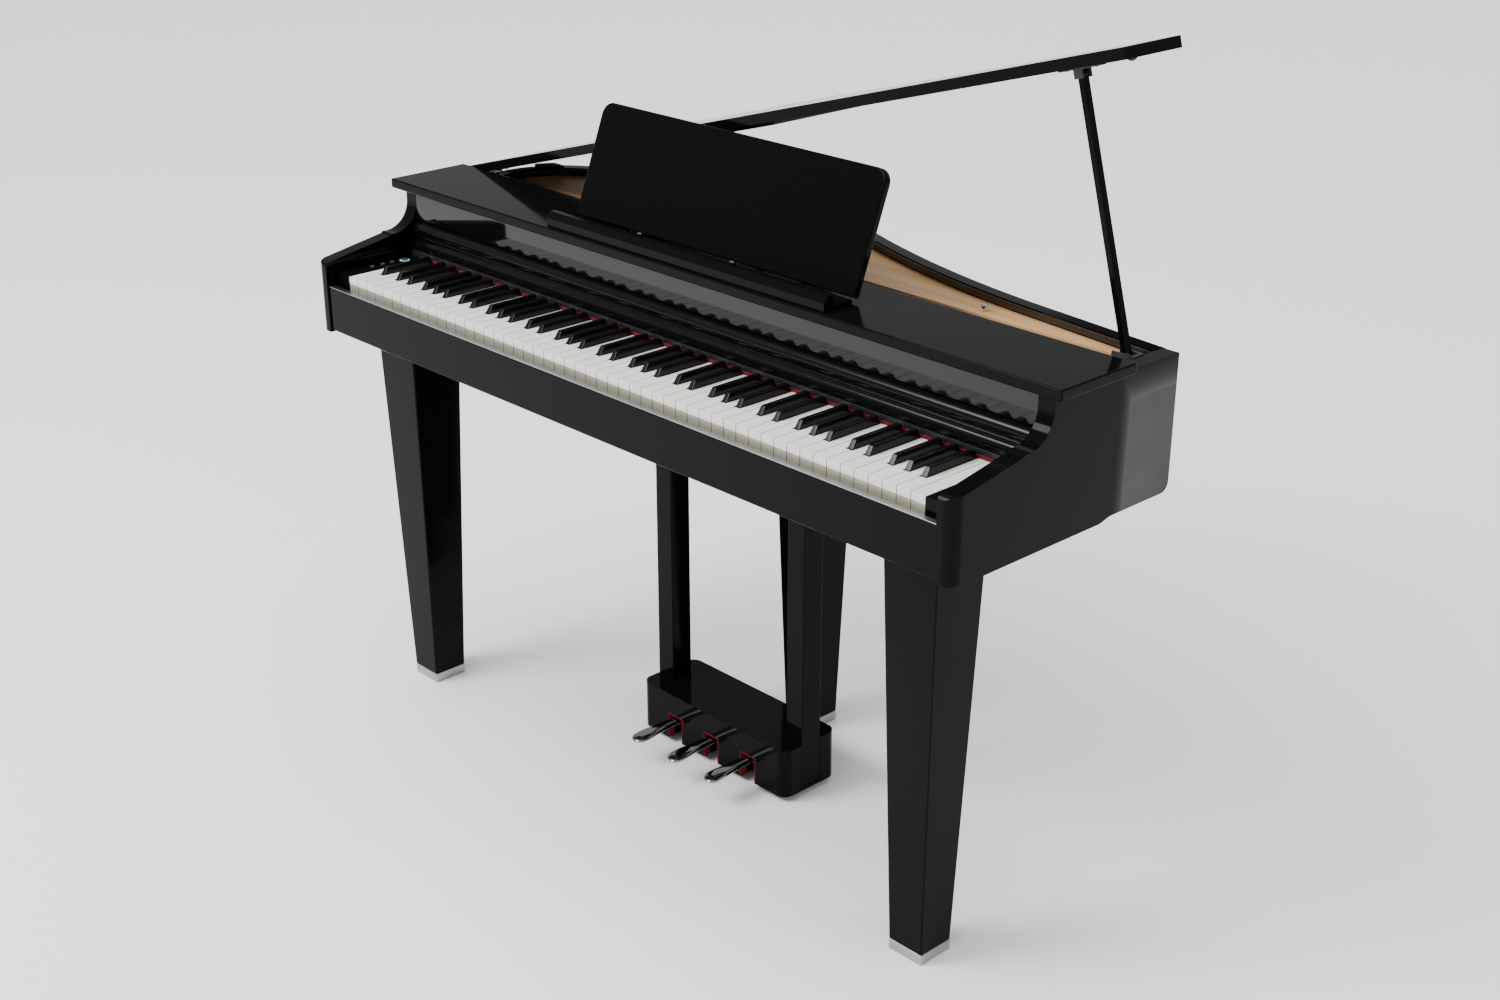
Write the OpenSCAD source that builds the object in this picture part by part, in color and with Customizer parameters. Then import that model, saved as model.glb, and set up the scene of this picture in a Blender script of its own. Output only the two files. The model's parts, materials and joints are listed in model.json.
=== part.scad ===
// Compact digital grand piano: bent rim case on three legs, lid on a prop,
// folding music desk, sliding key cover, 88 keys and a hung pedal box.
// Millimetres, +Z up, origin on the floor under the middle of the case.

/* [Case] */
// Width over the two side panels
case_w = 1344; // [1330:1:1700]
// Depth from the arm fronts to the tail
case_d = 610; // [590:1:740]
// Height of the key bed's underside
bed_z = 615; // [500:1:740]
// Height of the rim's top edge above the bed's underside
rim_h = 195; // [190:1:240]
// Thickness of the side panels
side_t = 26; // [20:1:32]
// Thickness of the bent rim
rim_t = 22; // [16:1:26]
// Thickness of the bottom board
board_t = 18; // [15:1:25]
// Overhang of the top panel past each side
top_over = 20; // [10:1:30]
// Thickness of the top panel and the lid
lid_t = 15; // [12:1:20]
// Depth of the top panel from front to back
top_d = 146; // [140:1:160]
// Gap between the closed lid and the rim
lid_gap = 4.4; // [4:0.1:6]

/* [Tail curve] */
// Radius of the left rear corner
corner_r = 144; // [120:1:160]
// Radius of the round tail
tail_r = 635; // [600:1:680]
// Radius of the hollow bend
bend_r = 1600; // [1300:10:1900]
// Depth of the left side panel behind the key fronts
left_d = 353.4; // [340:0.1:366]
// Depth of the right side panel behind the key fronts
right_d = 406; // [400:1:430]

/* [Keys] */
// Pitch of the white keys
key_pitch = 23.5; // [22:0.1:23.7]
// Gap between neighbouring keys
key_gap = 1; // [0.8:0.1:1.4]
// Height of the white keys' top above the key bed's underside
key_top = 96; // [92:1:100]
// Length of a white key from front to pivot
key_len = 218; // [200:1:222]
// Width of a black key
sharp_w = 10.5; // [9.5:0.5:11]
// Height of a black key above the white ones
sharp_h = 11.5; // [10:0.5:12]
// Shown length of the white keys
key_show = 137; // [130:1:139]
// Radius of the key pivot rod
rod_r = 2; // [1.5:0.1:2.5]

/* [Lid] */
// Angle of the open lid
lid_open = 16; // [10:0.5:20]
// Length of the prop from pin to foot
prop_l = 352; // [340:1:360]
// Width of the prop
prop_w = 12; // [10:1:14]
// Thickness of the prop
prop_t = 8; // [6:1:8]

/* [Music desk] */
// Width of the music desk
desk_w = 582; // [480:1:700]
// Height of the music desk along its slope
desk_h = 174; // [140:1:200]
// Thickness of the music desk
desk_t = 12; // [10:1:14]
// Angle of the desk behind upright
desk_lean = 21; // [15:1:30]

/* [Legs] */
// Width of a leg at its foot cap
leg_foot = 59; // [45:1:65]
// Growth of a leg's half width for each millimetre of height
leg_taper = 0.028; // [0.01:0.001:0.03]
// Height of a foot cap
cap_h = 16; // [10:1:25]
// Distance between the front legs
leg_span = 1109; // [1000:1:1130]

/* [Pedals] */
// Width of the pedal box
box_w = 330; // [320:1:400]
// Depth of the pedal box
box_d = 113; // [110:1:130]
// Height of the pedal box
box_h = 80; // [75:1:100]
// Distance between pedals
pedal_pitch = 84; // [70:1:86]
// Reach of the pedals in front of the box
pedal_reach = 87; // [60:1:100]

/* [Hidden] */
$fn = 64;

BLACK = "#101012";
IVORY = "#f2f0e8";
STEEL = "#c8cacc";
WOOD = "#d8bc8e";
BROWN = "#5a3420";
RED = "#8c1c22";
RUBBER = "#202020";

// Main planes. Depths count back from the fronts of the white keys.
cheek_reach = 20;
key_front = cheek_reach - case_d / 2;
tail_y = case_d - cheek_reach;
xs = case_w / 2;
xi = xs - side_t;
rim_z = bed_z + rim_h;
lid_z = rim_z + lid_gap;
tail_bottom = bed_z + 5;
board_top = tail_bottom + board_t;
key_z = bed_z + key_top;
panel_y = 158;
top_y = panel_y - 15;
top_back = top_y + top_d;
top_x = xs + top_over;
step_y = 285;

// Tail curve: three tangent arcs and one straight stretch
tail_cy = tail_y - tail_r;
tail_c = [corner_r - xs + sqrt(pow(tail_r - corner_r, 2) - pow(left_d - tail_cy, 2)), tail_cy];
bend_a = 67.7;
bend_c = tail_c + (tail_r + bend_r) * [cos(bend_a), sin(bend_a)];
corner_p = [xs, right_d];
end_d = norm(corner_p - bend_c);
end_a = atan2(corner_p.y - bend_c.y, corner_p.x - bend_c.x) - acos(bend_r / end_d);
end_slope = -cos(end_a) / sin(end_a);

function on_bend(t) = bend_c + (bend_r + t) * [cos(end_a), sin(end_a)];
function edge_y(x, t) = on_bend(t).y + (x - on_bend(t).x) * end_slope;
function bend_y(x, t) = bend_c.y - sqrt(pow(bend_r + t, 2) - pow(x - bend_c.x, 2));
function corner_c(x, r) =
    [x + r, tail_c.y + sqrt(pow(tail_r - r, 2) - pow(x + r - tail_c.x, 2))];

// Key cover
cover_travel = 139;
track_z = key_z + 16;
track_w = 9;
track_cut = 3.2;
peg_r = 4;
cover_x = xi - 2;
guide_t = 4;
board_z = key_z + 37;
moulding_z = key_z + sharp_h + 3;
moulding_y = key_show + 2;
moulding_d = 36;
cover_back = 298;

// Lid hinge line, prop and well
hinge_x = -(xs - 2);
hinge_z = lid_z - 0.4;
hinge_r = 3.2;
hinge_pin_r = 1.5;
hinge_ys = [298, 328];
hinge_len = 22;
bumper_h = lid_gap - 0.2;
rest_y = 412;
rest_l = 29;
lid_edge = 4;
lid_front = top_back + 2;
lid_left = -(top_x - lid_edge);
lid_corner = 130;
pin_drop = 9;
cheek_w = 13;
prop_y = 355;
prop_x = xs - 96;
prop_pin_r = 2;
prop_side = 1.2;
rail_y = 300;
rail_t = 18;
deck_y = prop_y + 17;
deck_z = rim_z - 13;
deck_t = 6;
liner_t = 3;
fit_gap = 0.3;

// Music desk hinge
desk_y = 221.4;
desk_z = lid_z + lid_t + 6.6;
barrel_r = 3.5;
desk_back = 4;
desk_pin_r = 1.5;
running = 0.05;
ledge_y = 149.5;
clip_y = 181;
clip_z = lid_z + lid_t + 10.6;
clip_xs = [-95, 100];
clip_w = 7;
clip_r = 2.6;
clip_pin_r = 1.2;
ear_t = 2;

// Legs and pedals
front_leg_y = 85.5;
rear_leg_y = 431;
plate_t = 4;
box_y = 209;
box_z = 10;
post_w = 35;
post_d = 39;
post_y = box_y + 37;
shaft_y = box_y + 86;
shaft_z = box_z + 40;
shaft_r = 3;
slot_w = 34;
slot_top = 55;
slot_d = 40;
felt_t = 2;
pedal_t = 9;
wall = 12;
cavity_w = box_w - 2 * post_w - 2 * wall;

// Controls on the left key block
button_x = -(xi - 15);
button_r = 3.5;
button_ys = [57, 77, 95];
power_y = 117;
power_r = 5.5;
button_gap = 0.3;
button_up = 2;

// Moves a piece from key-front depths to the part's origin
module place() {
    translate([0, key_front, 0]) children();
}

// A box from its lowest to its highest corner
module block(a, b) {
    translate(a) cube(b - a);
}

// Outline of the case seen from above, drawn in by t on all curved sides
module plan(left, right, r, t, front) {
    c = corner_c(left, r);
    u = (c - tail_c) / norm(c - tail_c);
    v = [cos(bend_a), sin(bend_a)];
    difference() {
        polygon([[left + t, front], [left + t, c.y], c, tail_c + (tail_r - t) * v, on_bend(t),
            [right - t, edge_y(right - t, t)], [right - t, front]]);
        translate(bend_c) circle(bend_r + t, $fn = 720);
    }
    translate(c) circle(r - t, $fn = 128);
    intersection() {
        translate(tail_c) circle(tail_r - t, $fn = 360);
        polygon([tail_c, tail_c + 2 * tail_r * u, tail_c + 2 * tail_r * (u + v), tail_c + 2 * tail_r * v]);
    }
}

module case_plan(t, front) {
    plan(-xs, xs, corner_r, t, front);
}

// Side panel seen from the side: arm, hollow sweep, top and rear
module side_profile(rear, foot_r) {
    arm_z = key_z + 19;
    slope = 25 / 143;
    sweep_r = 44;
    sweep_x = panel_y - sweep_r;
    sweep_z = arm_z + slope * (sweep_x + 10) + sweep_r * sqrt(1 + slope * slope);
    front = -cheek_reach;
    difference() {
        polygon([[front, bed_z], [front, arm_z - 5], [front + 3, arm_z - 1.5], [-10, arm_z],
            [sweep_x - 10, arm_z + slope * sweep_x], [panel_y, sweep_z], [panel_y, lid_z],
            [top_back, lid_z], [top_back, rim_z], [rear, rim_z], [rear, tail_bottom + foot_r],
            [rear - foot_r, tail_bottom], [step_y, tail_bottom], [step_y - 22, bed_z]]);
        translate([sweep_x, sweep_z]) circle(sweep_r, $fn = 128);
    }
    if (foot_r > 0) translate([rear - foot_r, tail_bottom + foot_r]) circle(foot_r);
}

// Slot that guides the key cover: drops behind the arm's front, then runs level
module track_profile() {
    low = track_z;
    polygon([[-17, low - 33], [-17, low - 7], [-7, low - 2], [16, low + 3], [45, low + track_w],
        [cover_back + 8, low + track_w], [cover_back + 8, low], [60, low], [44, low - 1],
        [6, low - 7], [-4, low - 10], [-9, low - 17], [-9, low - 33]]);
}

module side_panel(rear, foot_r, outer_r) {
    intersection() {
        translate([xi, 0, 0]) rotate([90, 0, 90]) linear_extrude(side_t) side_profile(rear, foot_r);
        translate([0, 0, bed_z - 1]) linear_extrude(rim_h + lid_gap + 2) union() {
            translate([xi, outer_r - cheek_reach]) square([side_t, case_d]);
            translate([xi, -cheek_reach]) square([side_t - outer_r, case_d]);
            translate([xs - outer_r, outer_r - cheek_reach]) circle(outer_r);
        }
    }
}

module track_cutter() {
    translate([xi - 1, 0, 0]) rotate([90, 0, 90]) linear_extrude(track_cut + 1) track_profile();
}

module side_left() {
    color(BLACK) place() mirror([1, 0, 0]) difference() {
        side_panel(corner_c(-xs, corner_r).y, 0, 18);
        track_cutter();
    }
}

module side_right() {
    color(BLACK) place() difference() {
        side_panel(edge_y(xs, 0), 15, 18);
        track_cutter();
    }
}

module rim() {
    start = corner_c(-xs, corner_r).y;
    color(BLACK) place() translate([0, 0, tail_bottom]) linear_extrude(rim_z - tail_bottom) intersection() {
        difference() {
            case_plan(0, start);
            case_plan(rim_t, start - 1);
        }
        translate([-xs - 1, start]) square([xs + xi + 1, case_d]);
    }
}

module rim_liner() {
    color(BROWN) place() translate([0, 0, deck_z + 3]) linear_extrude(rim_z - deck_z - 4.5) intersection() {
        difference() {
            case_plan(rim_t + fit_gap, deck_y);
            case_plan(rim_t + fit_gap + liner_t, deck_y - 1);
        }
        translate([-xs, deck_y]) square([xs + xi - liner_t, case_d]);
    }
}

module case_bottom() {
    color(BLACK) place() {
        block([-xi, -5, bed_z], [xi, step_y, bed_z + board_t]);
        translate([0, 0, tail_bottom]) linear_extrude(board_t) intersection() {
            case_plan(rim_t + 0.1, step_y - 1);
            translate([-xi, step_y - 1]) square([2 * xi, case_d]);
        }
    }
}

module cross_rail() {
    color(BLACK) place() block([-xi, rail_y, board_top], [xi, rail_y + rail_t, rim_z - 4]);
}

module deck() {
    color(WOOD) place() {
        translate([0, 0, deck_z - deck_t]) linear_extrude(deck_t) intersection() {
            case_plan(rim_t + fit_gap, deck_y);
            translate([-xi, deck_y]) square([2 * xi, case_d]);
        }
        block([-(xi - 8), deck_y, deck_z - 30], [xi - 8, deck_y + 9, deck_z - deck_t]);
    }
}

module deck_knob() {
    color(STEEL) place() translate([xs - 307, deck_y + 15, deck_z]) {
        cylinder(r = 3, h = 4);
        translate([0, 0, 4]) cylinder(r = 4.6, h = 5);
    }
}

module key_slip() {
    color(BLACK) place() block([-xi, -17, bed_z + 3.5], [xi, -5, key_z - 21.2]);
}

module slip_strip() {
    color(STEEL) place() block([-xi, -17, key_z - 21.2], [xi, -7, key_z - 20]);
}

module front_panel() {
    color(BLACK) place() block([-xi, panel_y, board_z + 19], [xi, panel_y + 14, lid_z]);
}

module top_panel() {
    color(BLACK) place() translate([0, 0, lid_z]) linear_extrude(lid_t) {
        translate([-top_x, top_y + 3]) square([2 * top_x, top_d - 3]);
        translate([-top_x + 3, top_y]) square([2 * top_x - 6, top_d]);
        for (side = [-1, 1]) translate([side * (top_x - 3), top_y + 3]) circle(3);
    }
}

// Keys. White key i is counted from the left; note 0 is C.
whites = 52;
keys_w = whites * key_pitch;
group = 13;
has_sharp = [true, true, false, true, true, true, false];
sharp_shift = [-0.12, 0.12, 0, -0.16, 0, 0.16, 0];
pivot_z = key_z - 9;
sharp_front = 44;
lip = 25;
key_end = key_len + 7;
function note(i) = (i + 5) % 7;
function white_x(i) = i * key_pitch - keys_w / 2;
function sharp_x(i) = white_x(i + 1) + sharp_shift[note(i)] * key_pitch;
function sharp_after(i) = i >= 0 && i < whites - 1 && has_sharp[note(i)];

module rod_bore() {
    translate([-keys_w, key_len, pivot_z]) rotate([0, 90, 0]) cylinder(r = rod_r + running, h = 2 * keys_w);
}

module white_plan(i) {
    cut_w = sharp_w + 2 * key_gap;
    difference() {
        translate([white_x(i) + key_gap / 2, 0]) square([key_pitch - key_gap, key_end]);
        for (k = [i - 1, i]) if (sharp_after(k))
            translate([sharp_x(k) - cut_w / 2, sharp_front - 2]) square([cut_w, key_end]);
    }
}

module white_key(i) {
    difference() {
        union() {
            translate([0, 0, key_z - 14]) linear_extrude(14) white_plan(i);
            block([white_x(i) + key_gap / 2, 0, key_z - lip], [white_x(i + 1) - key_gap / 2, 4, key_z - 14]);
        }
        rod_bore();
    }
}

module black_key(i) {
    top = key_z + sharp_h;
    translate([sharp_x(i) - sharp_w / 2, 0, 0]) rotate([90, 0, 90]) difference() {
        linear_extrude(sharp_w) polygon([[sharp_front, key_z - 12], [sharp_front, key_z - 1],
            [sharp_front + 6, top - 1.5], [sharp_front + 9, top], [key_show - 2, top],
            [key_show - 1, key_z - 3], [key_end, key_z - 3], [key_end, key_z - 14], [100, key_z - 14]]);
        translate([key_len, pivot_z, -1]) cylinder(r = rod_r + running, h = sharp_w + 2);
    }
}

module white_group(g) {
    color(IVORY) place() for (i = [g * group : (g + 1) * group - 1]) white_key(i);
}

module black_group(g) {
    color(BLACK) place() for (i = [g * group : (g + 1) * group - 1]) if (sharp_after(i)) black_key(i);
}

module white_keys_1() { white_group(0); }
module white_keys_2() { white_group(1); }
module white_keys_3() { white_group(2); }
module white_keys_4() { white_group(3); }
module black_keys_1() { black_group(0); }
module black_keys_2() { black_group(1); }
module black_keys_3() { black_group(2); }
module black_keys_4() { black_group(3); }

module key_blocks() {
    inner = keys_w / 2 + 1;
    hole_z = key_z - 12;
    color(BLACK) place() {
        difference() {
            block([-xi, 0, bed_z + board_t], [-inner, key_end, key_z]);
            for (y = button_ys) translate([button_x, y, hole_z])
                cylinder(r = button_r + button_gap, h = 20);
            translate([button_x + 3, power_y, hole_z]) cylinder(r = power_r + button_gap, h = 20);
        }
        block([inner, 0, bed_z + board_t], [xi, key_end, key_z]);
    }
}

module key_frame() {
    half = keys_w / 2;
    base_z = bed_z + board_t;
    color("#8a8d90") place() {
        block([-half, 10, base_z], [half, key_end + 11, base_z + 4]);
        block([-half, 20, base_z + 4], [half, 30, key_z - 27]);
        block([-half, key_end + 3, base_z + 4], [half, key_end + 11, key_z - 2]);
    }
}

module key_pivot_rod() {
    color(STEEL) place() translate([-keys_w / 2 - 1, key_len, pivot_z]) rotate([0, 90, 0])
        cylinder(r = rod_r, h = keys_w + 2);
}

module felt_rail() {
    color(BLACK) place() difference() {
        block([-(xi - 6), key_show + 3, key_z], [xi - 6, key_show + 10, key_z + 12]);
        block([-keys_w / 2 - 1, key_show, key_z - 1], [keys_w / 2 + 1, key_show + 11, key_z + 1]);
    }
}

module key_felt() {
    color(RED) place() block([-keys_w / 2, key_show, key_z + 0.6], [keys_w / 2, key_show + 3, key_z + 4.6]);
}

// Key cover. Its moulding has a lip, a cove, a bead and a round nose.
module cover_profile() {
    nose_r = 13;
    nose_z = 2 * nose_r + 0.5;
    cove_r = 10;
    cove_z = cove_r + 5.5;
    nose_y = moulding_d - nose_r;
    translate([moulding_y, moulding_z]) {
        difference() {
            square([moulding_d, cove_z]);
            translate([2, cove_z]) circle(cove_r);
        }
        translate([cove_r + 2, cove_z - 1]) square([moulding_d - cove_r - 2, nose_z - cove_z + 1]);
        translate([cove_r + 2, cove_z + 1]) circle(2);
        translate([nose_y, nose_z]) circle(nose_r);
        translate([nose_y, cove_z]) square([nose_r, nose_z + nose_r - cove_z]);
    }
}

module cover_moulding() {
    color(BLACK) place() translate([-cover_x, 0, 0]) rotate([90, 0, 90]) linear_extrude(2 * cover_x)
        cover_profile();
}

module cover_board() {
    color(BLACK) place() block([-(cover_x - guide_t), moulding_y + moulding_d, board_z],
        [cover_x - guide_t, cover_back, board_z + 6]);
}

module cover_guides() {
    peg_z = track_z + track_w / 2;
    first = 45 + cover_travel + 12;
    color("#303236") place() for (side = [0, 1]) mirror([side, 0, 0]) {
        block([cover_x - guide_t, first - 8, track_z + 0.5], [cover_x, cover_back, board_z + 6]);
        for (y = [first, cover_back - 8]) translate([cover_x, y, peg_z]) rotate([0, 90, 0])
            cylinder(r = peg_r, h = xi + track_cut - 0.6 - cover_x);
    }
}

// Music desk, drawn upright with the hinge line at the origin and then leaned back
module lean() {
    translate([0, desk_y, desk_z]) rotate([-desk_lean, 0, 0]) children();
}

module music_desk() {
    r = 20;
    color(BLACK) place() lean() translate([0, -desk_back, -desk_back]) rotate([90, 0, 0])
        linear_extrude(desk_t) {
            translate([-desk_w / 2, 0]) square([desk_w, desk_h - r]);
            translate([-desk_w / 2 + r, 0]) square([desk_w - 2 * r, desk_h]);
            for (side = [-1, 1]) translate([side * (desk_w / 2 - r), desk_h - r]) circle(r);
        }
}

barrel_xs = [-desk_w / 3, desk_w / 3];
barrel_len = 24;

module desk_barrels() {
    color(STEEL) place() lean() for (x = barrel_xs) difference() {
        union() {
            translate([x - barrel_len / 2, 0, 0]) rotate([0, 90, 0]) cylinder(r = barrel_r, h = barrel_len);
            block([x - barrel_len / 2, -desk_back, 0], [x + barrel_len / 2, 0, 20]);
        }
        translate([x - barrel_len, 0, 0]) rotate([0, 90, 0])
            cylinder(r = desk_pin_r + running, h = 2 * barrel_len);
    }
}

module desk_brackets() {
    ear = 4;
    top = lid_z + lid_t;
    color(STEEL) place() for (x = barrel_xs) {
        for (e = [x - barrel_len / 2 - ear - 0.4, x + barrel_len / 2 + 0.4]) {
            block([e, desk_y - barrel_r, top], [e + ear, desk_y + barrel_r, desk_z]);
            translate([e, desk_y, desk_z]) rotate([0, 90, 0]) cylinder(r = barrel_r, h = ear);
        }
        translate([x - barrel_len / 2 - 1, desk_y, desk_z]) rotate([0, 90, 0])
            cylinder(r = desk_pin_r, h = barrel_len + 2);
        block([x - barrel_len / 2 - ear - 0.4, desk_y + barrel_r, top],
            [x + barrel_len / 2 + ear + 0.4, desk_y + 16, top + 1.6]);
    }
}

module clip_ears(x) {
    for (e = [x - clip_w / 2 - 2 * ear_t, x + clip_w / 2 + ear_t]) difference() {
        union() {
            block([e, clip_y - clip_r, lid_z + lid_t + 6], [e + ear_t, clip_y + clip_r, clip_z]);
            translate([e, clip_y, clip_z]) rotate([0, 90, 0]) cylinder(r = clip_r, h = ear_t);
        }
        translate([e - 1, clip_y, clip_z]) rotate([0, 90, 0])
            cylinder(r = clip_pin_r + running, h = ear_t + 2);
    }
}

module desk_ledge() {
    z = lid_z + lid_t;
    back = desk_y - 18.4;
    color(BLACK) place() {
        translate([-desk_w / 2, 0, 0]) rotate([90, 0, 90]) linear_extrude(desk_w)
            polygon([[ledge_y, z], [ledge_y, z + 12.6], [ledge_y + 7.5, z + 21.6], [ledge_y + 16.5, z + 21.6],
                [ledge_y + 19.5, z + 6.6], [back, z + 6.6], [back, z]]);
        for (x = clip_xs) clip_ears(x);
    }
}

// Page clip lying forward over the ledge's lip
module page_clip(x) {
    half = clip_w / 2 + 2 * ear_t;
    color(STEEL) place() translate([x, clip_y, clip_z]) {
        translate([-half, 0, 0]) rotate([0, 90, 0]) cylinder(r = clip_pin_r, h = 2 * half);
        translate([-clip_w / 2, 0, 0]) rotate([0, 90, 0]) cylinder(r = clip_r, h = clip_w);
        rotate([-40, 0, 0]) block([-clip_w / 2, -24, -1], [clip_w / 2, 0, 1.5]);
    }
}

module page_clip_left() { page_clip(clip_xs[0]); }
module page_clip_right() { page_clip(clip_xs[1]); }

// Lid group, drawn closed and then opened about the hinge line
module opened() {
    place() translate([hinge_x, 0, hinge_z]) rotate([0, -lid_open, 0])
        translate([-hinge_x, 0, -hinge_z]) children();
}

module lid() {
    color(BLACK) opened() difference() {
        translate([0, 0, lid_z]) linear_extrude(lid_t) intersection() {
            plan(lid_left, top_x, lid_corner, 0, lid_front);
            translate([lid_left, lid_front]) square([2 * top_x, case_d]);
        }
        for (y = hinge_ys) block([lid_left - 1, y - 0.6, lid_z - 1],
            [hinge_x + hinge_r + 1, y + hinge_len + 0.6, hinge_z + hinge_r + 1]);
    }
}

module lid_batten() {
    color(BROWN) opened() block([-86, rail_y + rail_t + 4, lid_z - 5.6], [45, tail_y - 90, lid_z]);
}

// Rubber domes under the lid that meet the rim's top edge
module lid_bumpers() {
    r = 7;
    ball = (r * r + bumper_h * bumper_h) / (2 * bumper_h);
    mid_x = bend_c.x / 2;
    spots = [[xs - side_t / 2, prop_y - 7], [tail_c.x, tail_y - rim_t / 2],
        [mid_x, bend_y(mid_x, rim_t / 2)]];
    color(RUBBER) opened() for (p = spots) translate([p.x, p.y, lid_z]) mirror([0, 0, 1]) intersection() {
        translate([0, 0, bumper_h - ball]) sphere(ball);
        cylinder(r = r + 1, h = bumper_h + 1);
    }
}

// Rubber block the lid's left side comes down on
module lid_rest() {
    color(RUBBER) place() translate([0, 0, rim_z]) linear_extrude(bumper_h) intersection() {
        difference() {
            case_plan(1, rail_y);
            case_plan(rim_t - 1, rail_y - 1);
        }
        translate([-xs, rest_y]) square([corner_r, rest_l]);
    }
}

knuckle = hinge_len / 4;
leaf_t = 1.6;

// Case leaves with the hinge pins pressed in
module lid_hinge_case() {
    color(STEEL) place() for (y = hinge_ys) {
        for (k = [y, y + hinge_len - knuckle]) {
            translate([hinge_x, k, hinge_z]) rotate([-90, 0, 0]) cylinder(r = hinge_r, h = knuckle);
            block([hinge_x - 1, k, rim_z], [hinge_x + 5, k + knuckle, rim_z + leaf_t]);
            block([hinge_x - 1, k, rim_z], [hinge_x + 1, k + knuckle, hinge_z]);
        }
        translate([hinge_x, y, hinge_z]) rotate([-90, 0, 0]) cylinder(r = hinge_pin_r, h = hinge_len);
        block([hinge_x + 4, y, rim_z], [hinge_x + 18, y + hinge_len, rim_z + leaf_t]);
    }
}

module lid_hinge_lid() {
    color(STEEL) opened() for (y = hinge_ys) {
        a = y + knuckle + 0.4;
        b = y + hinge_len - knuckle - 0.4;
        difference() {
            union() {
                translate([hinge_x, a, hinge_z]) rotate([-90, 0, 0]) cylinder(r = hinge_r, h = b - a);
                block([hinge_x, a, lid_z - leaf_t], [hinge_x + 5, b, lid_z]);
            }
            translate([hinge_x, a - 1, hinge_z]) rotate([-90, 0, 0])
                cylinder(r = hinge_pin_r + running, h = b - a + 2);
        }
        block([hinge_x + 4.5, y, lid_z - leaf_t], [hinge_x + 30, y + hinge_len, lid_z]);
    }
}

module prop_bracket() {
    inner = prop_w / 2 + prop_side;
    z = lid_z - pin_drop;
    color(STEEL) opened() {
        block([prop_x - 30, prop_y - inner - 3, lid_z - 3], [prop_x + 30, prop_y + inner + 3, lid_z]);
        for (side = [-1, 1]) translate([prop_x, prop_y + side * (inner + 1.5) + 1.5, z]) rotate([90, 0, 0])
            linear_extrude(3) {
                translate([-cheek_w / 2, -cheek_w / 2 + 1]) square([cheek_w, pin_drop + cheek_w / 2 - 3]);
            }
        translate([prop_x, prop_y + inner, z]) rotate([90, 0, 0]) cylinder(r = prop_pin_r, h = 2 * inner);
    }
}

module prop() {
    z = lid_z - pin_drop;
    color(BLACK) opened() translate([prop_x, prop_y + prop_w / 2, z]) rotate([90, 0, 0]) difference() {
        linear_extrude(prop_w) {
            circle(5);
            translate([-prop_t / 2, -prop_l]) square([prop_t, prop_l]);
        }
        translate([0, 0, -1]) cylinder(r = prop_pin_r + running, h = prop_w + 2);
    }
}

module prop_fork() {
    inner = prop_w / 2 + prop_side;
    foot_x = hinge_x + (prop_x - hinge_x) * cos(lid_open) + prop_l * sin(lid_open);
    low = deck_z - 8;
    color(BLACK) place() {
        block([xi - 3, prop_y - inner - 3, low], [xi, prop_y + inner + 3, rim_z + 2]);
        for (y = [prop_y - inner - 3, prop_y + inner])
            block([foot_x - 14, y, low], [xi - 3, y + 3, rim_z + 2]);
    }
}

// Legs
module leg(top) {
    low = leg_foot / 2;
    high = low + leg_taper * (top - cap_h);
    side = [[-low, cap_h], [low, cap_h], [high, top], [-high, top]];
    intersection() {
        translate([0, high, 0]) rotate([90, 0, 0]) linear_extrude(2 * high) polygon(side);
        translate([-high, 0, 0]) rotate([90, 0, 90]) linear_extrude(2 * high) polygon(side);
    }
}

module front_legs() {
    color(BLACK) place() for (x = [-leg_span / 2, leg_span / 2]) translate([x, front_leg_y, 0])
        leg(bed_z - plate_t);
}

module rear_leg() {
    color(BLACK) place() translate([0, rear_leg_y, 0]) leg(tail_bottom - plate_t);
}

leg_spots = [[-leg_span / 2, front_leg_y, bed_z], [leg_span / 2, front_leg_y, bed_z],
    [0, rear_leg_y, tail_bottom]];

module leg_plates() {
    half = leg_foot / 2 + 18;
    color("#505356") place() for (p = leg_spots)
        translate([p.x - half, p.y - half, p.z - plate_t]) cube([2 * half, 2 * half, plate_t]);
}

module foot_caps() {
    half = leg_foot / 2;
    color(STEEL) place() for (p = leg_spots) translate([p.x, p.y, 0])
        translate([-half, -half, 0]) cube([leg_foot, leg_foot, cap_h]);
}

// Pedal box hung between two posts
pedal_xs = [-pedal_pitch, 0, pedal_pitch];

module box_plan() {
    r = 18;
    translate([-box_w / 2, box_y + r]) square([box_w, box_d - 2 * r]);
    translate([-box_w / 2 + r, box_y]) square([box_w - 2 * r, box_d]);
    for (x = [-1, 1], y = [0, 1]) translate([x * (box_w / 2 - r), box_y + r + y * (box_d - 2 * r)]) circle(r);
}

module pedal_box() {
    color(BLACK) place() difference() {
        translate([0, 0, box_z]) linear_extrude(box_h) box_plan();
        block([-cavity_w / 2, box_y + wall, box_z + wall],
            [cavity_w / 2, box_y + box_d - wall, box_z + box_h - 10]);
        for (x = pedal_xs)
            block([x - slot_w / 2, box_y - 1, box_z - 1], [x + slot_w / 2, box_y + slot_d, slot_top]);
        for (side = [0, 1]) mirror([side, 0, 0]) block([box_w / 2 - post_w, post_y, box_z + 6],
            [box_w / 2 + 1, post_y + post_d, box_z + box_h + 1]);
        translate([-cavity_w / 2 - 6, shaft_y, shaft_z]) rotate([0, 90, 0])
            cylinder(r = shaft_r, h = cavity_w + 12);
    }
}

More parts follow.
